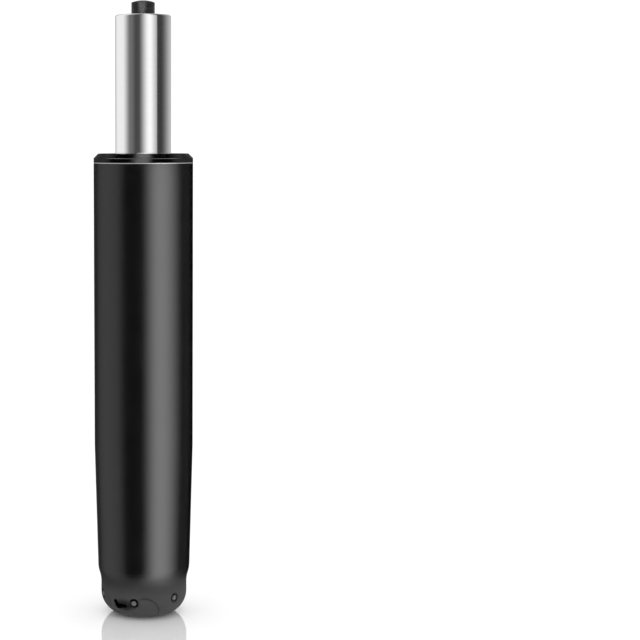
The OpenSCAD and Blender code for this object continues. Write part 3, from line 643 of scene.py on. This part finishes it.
def pocket_block():
    """One pocket between two ribs: a closed curved block from the sleeve's foot up to its head."""
    inner = sleeve_bore_r + sleeve_skin
    outer = sleeve_r - sleeve_skin
    rib_turn = 2 * math.asin(rib_w / (inner + outer))
    turn = math.tau / rib_count - rib_turn
    turns = [rib_turn / 2 + turn * step / pocket_steps for step in range(pocket_steps + 1)]
    ring = [(inner, angle) for angle in turns] + [(outer, angle) for angle in turns[::-1]]
    block = bmesh.new()
    low = (sleeve_foot - pocket_overrun) * MM
    high = (column_len - sleeve_head) * MM
    plan = [block.verts.new((r * math.cos(a) * MM, r * math.sin(a) * MM, low)) for r, a in ring]
    face = block.faces.new(plan)
    lifted = bmesh.ops.extrude_face_region(block, geom=[face])
    top = [part for part in lifted["geom"] if isinstance(part, bmesh.types.BMVert)]
    bmesh.ops.translate(block, verts=top, vec=(0.0, 0.0, high - low))
    bmesh.ops.recalc_face_normals(block, faces=block.faces)
    mesh = bpy.data.meshes.new("rib pocket")
    block.to_mesh(mesh)
    block.free()
    return bpy.data.objects.new("rib_pocket", mesh)


sleeve_line = rounded([
    (sleeve_bore_r, sleeve_foot, 0.3), (sleeve_r, sleeve_foot, 0.6), (sleeve_r, rim_top, 0.0),
    (collar_r, rim_top, 0.08), (collar_r, collar_top - collar_chamfer, 0.5),
    (collar_r - collar_chamfer, collar_top, 0.3), (sleeve_bore_r + sleeve_mouth, collar_top, 0.1),
    (sleeve_bore_r, collar_top - sleeve_mouth, 0.1)])
guide_sleeve = section("guide_sleeve_moulded", sleeve_line + sleeve_line[:1])
shape(guide_sleeve, lathe, segments=sleeve_segments, weld=weld * MM, material=acetal)
pocket = pocket_block()
shape(guide_sleeve, pocket_tree(), count=rib_count, pocket=pocket)
settle(guide_sleeve)
bpy.data.objects.remove(pocket)
guide_sleeve.data.set_sharp_from_angle(angle=math.radians(sharp_turn))
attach(guide_sleeve, "column")
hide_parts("guide_sleeve")

# Pressure tube
# A seamless steel tube, ground, hard chromed and polished, and rolled in at both ends over
# what it holds. Its top length is the spigot that presses into the seat plate.
tube_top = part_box("pressure_tube")[1].z / MM
rim_sink = 0.3
tube_rim = tube_top - rim_sink
tube_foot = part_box("pressure_tube")[0].z / MM
tube_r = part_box("pressure_tube")[1].x / MM
tube_wall = 1.6
tube_edge = 1.0
top_lip = 2.0
top_bore_r = 6.0
end_lip = 1.6
end_bore_r = 8.0
chrome_segments = 256

# Hard chrome: a clear mirror crossed by very fine grinding lines that run round the tube.
# The lines are about 0.02 mm apart, and are drawn ten times coarser so that they show.
chrome = finish("ground hard chrome", "#dddddd", "#e9e9e9", 0.1, 0.16, 0.2, 0.002, 1.0, turned)

chrome_line = rounded([
    (end_bore_r, tube_foot, 0.3), (tube_r, tube_foot, tube_edge),
    (tube_r, tube_rim, tube_edge), (top_bore_r, tube_rim, 0.35),
    (top_bore_r, tube_top - top_lip, 0.2), (tube_r - tube_wall, tube_top - top_lip, 0.3),
    (tube_r - tube_wall, tube_foot + end_lip, 0.3), (end_bore_r, tube_foot + end_lip, 0.2)], steps=8)
pressure_tube = section("pressure_tube_chromed", chrome_line + chrome_line[:1])
shape(pressure_tube, lathe, segments=chrome_segments, weld=weld * MM, material=chrome)
settle(pressure_tube)
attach(pressure_tube, "lift_tube")
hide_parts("pressure_tube")

# Release button
# A small plunger moulded in black nylon with a crowned top. Its flange sits under the tube's
# rolled lip, and the seat lever pushes it down to open the valve.
button_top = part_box("release_button")[1].z / MM
button_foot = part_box("release_button")[0].z / MM
flange_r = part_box("release_button")[1].x / MM
flange_t = 2.0
button_r = 5.85
button_crown = 1.1
button_edge = 0.3
socket_r = 2.05
socket_depth = 3.05
crown_steps = 14
button_segments = 128

# Moulded nylon: satin black with the fine grain of the mould.
nylon = finish("moulded black nylon", "#0c0c0c", "#141414", 0.22, 0.3, 0.6, 0.04)

crown_r = (button_r ** 2 + button_crown ** 2) / (2 * button_crown)
crown_turn = math.degrees(math.asin((button_r - 2 * button_edge) / crown_r))
crown = arc(0.0, button_top - crown_r, crown_r, 90 - crown_turn, 90, crown_steps)
button_line = rounded([
    (socket_r, button_foot, 0.1), (flange_r, button_foot, 0.2), (flange_r, button_foot + flange_t, 0.2),
    (button_r, button_foot + flange_t, 0.0), (button_r, button_top - button_crown, button_edge)]
    + [(r, z, 0.0) for r, z in crown]
    + [(0.0, button_foot + socket_depth, 0.0), (socket_r, button_foot + socket_depth, 0.0)], steps=6)
release_button = section("release_button_moulded", button_line + button_line[:1])
shape(release_button, lathe, segments=button_segments, weld=weld * MM, material=nylon)
settle(release_button)
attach(release_button, "release")
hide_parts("release_button")

# Studio table
# A pale laminate table that the part stands on, with a soft overhead lamp for it alone.
# The room round it is plain white.
mesh = bpy.data.meshes.new("studio table")
table_half = 3.0
mesh.from_pydata([
    (-table_half, -table_half, 0.0), (table_half, -table_half, 0.0),
    (table_half, table_half, 0.0), (-table_half, table_half, 0.0)], [], [(0, 1, 2, 3)])
table = bpy.data.objects.new("studio_table", mesh)
bpy.context.scene.collection.objects.link(table)
# Table laminate: white and pressed smooth, so the foot shows in it as a faint mirror image.
laminate = bpy.data.materials.new("pale table laminate")
laminate.use_nodes = True
tree = laminate.node_tree
tree.nodes.clear()
matt = add(tree, "ShaderNodeBsdfDiffuse", {"Color": linear("#ffffff")})
gloss = add(tree, "ShaderNodeBsdfGlossy", {"Color": linear("#ffffff"), "Roughness": 0.03})
skin = add(tree, "ShaderNodeFresnel", {"IOR": 3.2})
both = add(tree, "ShaderNodeMixShader", {0: skin.outputs[0], 1: matt.outputs[0], 2: gloss.outputs[0]})
add(tree, "ShaderNodeOutputMaterial", {"Surface": both.outputs[0]})
mesh.materials.append(laminate)
table.visible_glossy = False


def only_for(lamp, lit):
    """Lets a lamp light only the given pieces."""
    receivers = bpy.data.collections.new(lamp.name)
    for piece in lit:
        receivers.objects.link(piece)
    lamp.light_linking.receiver_collection = receivers


softbox = bpy.data.objects.new("softbox", bpy.data.lights.new("softbox", "AREA"))
softbox.data.size = 0.9
softbox.data.energy = 4.6
softbox.location = (0.0, 0.0, 1.4)
bpy.context.scene.collection.objects.link(softbox)
only_for(softbox, [table])

world = bpy.data.worlds.new("white studio")
bpy.context.scene.world = world
world.use_nodes = True
world.node_tree.nodes["Background"].inputs["Color"].default_value = linear("#ffffff")
world.node_tree.nodes["Background"].inputs["Strength"].default_value = 0.95
world.cycles_visibility.glossy = False

# Lamps
# Soft light panels stand round the table as one tent for each finish, as flags and gauze would
# on a real table, and only the reflections show them. A white backdrop closes the room.
tent_mid_z = 0.15
tent_rows = 60
tent_columns = 360
feather = 8
all_round = (-180.6, -180.4, 179.4, 179.6)


def ramp(value, start, end):
    """Rises smoothly from 0 at start to 1 at end."""
    share = min(1.0, max(0.0, (value - start) / (end - start)))
    return share * share * (3 - 2 * share)


def tent(name, radius, panels):
    """A round tent of light; a panel has its four turns from the front (start, full, hold and end),
    its lowest and highest angle, all in degrees, and its glow."""
    points = []
    glow = []
    for row in range(tent_rows + 1):
        rise = -90 + 180 * row / tent_rows
        for column in range(tent_columns):
            turn = -180 + 360 * column / tent_columns
            points.append((
                radius * math.cos(math.radians(rise)) * math.sin(math.radians(turn)),
                -radius * math.cos(math.radians(rise)) * math.cos(math.radians(turn)),
                tent_mid_z + radius * math.sin(math.radians(rise))))
            total = 0.0
            for (start, full, hold, end), (low, high), light in panels:
                up = ramp(rise, low - feather, low) * (1 - ramp(rise, high, high + feather))
                for side in (turn - 360, turn, turn + 360):
                    total += light * up * ramp(side, start, full) * (1 - ramp(side, hold, end))
            glow.append(total)
    faces = []
    for row in range(tent_rows):
        first = row * tent_columns
        above = first + tent_columns
        for column in range(tent_columns):
            beside = (column + 1) % tent_columns
            faces.append((first + column, first + beside, above + beside, above + column))
    mesh = bpy.data.meshes.new(name)
    mesh.from_pydata(points, [], faces)
    mesh.attributes.new("glow", "FLOAT", "POINT").data.foreach_set("value", glow)
    gauze = bpy.data.materials.new(name)
    gauze.use_nodes = True
    tree = gauze.node_tree
    tree.nodes.clear()
    level = add(tree, "ShaderNodeAttribute", attribute_name="glow")
    lamp = add(tree, "ShaderNodeEmission", {"Strength": level.outputs["Fac"]})
    clear = add(tree, "ShaderNodeBsdfTransparent")
    both = add(tree, "ShaderNodeAddShader", {0: lamp.outputs[0], 1: clear.outputs[0]})
    add(tree, "ShaderNodeOutputMaterial", {"Surface": both.outputs[0]})
    gauze.cycles.emission_sampling = "NONE"
    mesh.materials.append(gauze)
    panel = bpy.data.objects.new(name, mesh)
    bpy.context.scene.collection.objects.link(panel)
    panel.visible_camera = False
    panel.visible_diffuse = False
    panel.visible_transmission = False
    panel.visible_shadow = False
    return panel


only_for(tent("lamps_for_enamel", 1.5, [
    ((-150, -120, 115, 145), (-60, 30), 0.05),
    ((-172, -160, -148, -138), (-60, 26), 0.06),
    ((-150, -82, -68, -37), (-60, 26), 0.83),
    ((-7, 36, 41, 103), (-60, 26), 4.4),
    ((160, 174, 186, 200), (-60, -20), 1.5),
    ((75, 95, 125, 145), (-60, 26), 0.05),
    (all_round, (-90, -72), 1.2),
    (all_round, (38, 90), 0.6)]), [outer_tube])
only_for(tent("lamps_for_chrome", 1.6, [
    (all_round, (-90, 90), 0.055),
    ((-189, -139, -51, -29), (-90, 90), 0.12),
    ((-59, -44, -9, 11), (-90, 90), 0.025),
    ((-189, -124, -94, -52), (-90, 90), 0.91),
    ((-19, 27, 28, 55), (-90, 90), 0.6),
    ((-19, 27, 56, 60), (-90, 90), 0.62),
    ((75, 147, 178, 190), (-90, 90), 0.54)]), [pressure_tube])
only_for(tent("lamps_for_collar", 1.7, [
    ((-33, -6, 4, 24), (-50, 12), 2.8),
    ((-150, -96, -92, -76), (-50, 20), 0.36),
    ((-172, -160, -145, -120), (-50, 12), 0.1),
    ((62, 80, 92, 150), (-50, 20), 0.38),
    ((118, 140, 160, 172), (-50, 12), 0.07),
    ((-110, -90, 90, 110), (28, 50), 5.0),
    ((118, 130, 230, 242), (14, 52), 0.12),
    ((118, 130, 230, 242), (42, 52), 0.13),
    (all_round, (86, 90), 2.7)]), [guide_sleeve])
only_for(tent("lamps_for_button", 1.8, [
    (all_round, (-60, 60), 0.42),
    ((-53, -37, 13, 35), (-60, 60), 2.4)]), [release_button])
in_foot = ("base_plate", "clip_washer", "retaining_clip", "piston_rod")
inner_metal = [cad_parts[name] for name in in_foot]
only_for(tent("lamps_under_foot", 1.9, [(all_round, (-90, -55), 0.9)]), inner_metal)
only_for(tent("sky_in_table", 6.0, [(all_round, (-90, 90), 1.06)]), [table])
backdrop = tent("backdrop", 8.0, [(all_round, (-90, 90), 0.12)])
backdrop.visible_camera = True
backdrop.visible_glossy = False

# Camera
# A long lens a little above the collar, tilted down, with the part left of the middle.
# It is rolled by a hair, because the part leans that much in the picture.
camera_pitch = 5.764
camera_roll = 0.08
camera_data = bpy.data.cameras.new("portrait")
camera_data.sensor_width = 36.0
camera_data.lens = 100.3
camera_data.shift_x = 0.27614
camera_data.clip_start = 0.01
camera = bpy.data.objects.new("portrait", camera_data)
camera.location = (0.0, -0.9, 0.24135)
camera.rotation_euler = (math.radians(90 - camera_pitch), math.radians(camera_roll), 0.0)
bpy.context.scene.collection.objects.link(camera)
bpy.context.scene.camera = camera
bpy.context.scene.view_settings.view_transform = "Standard"
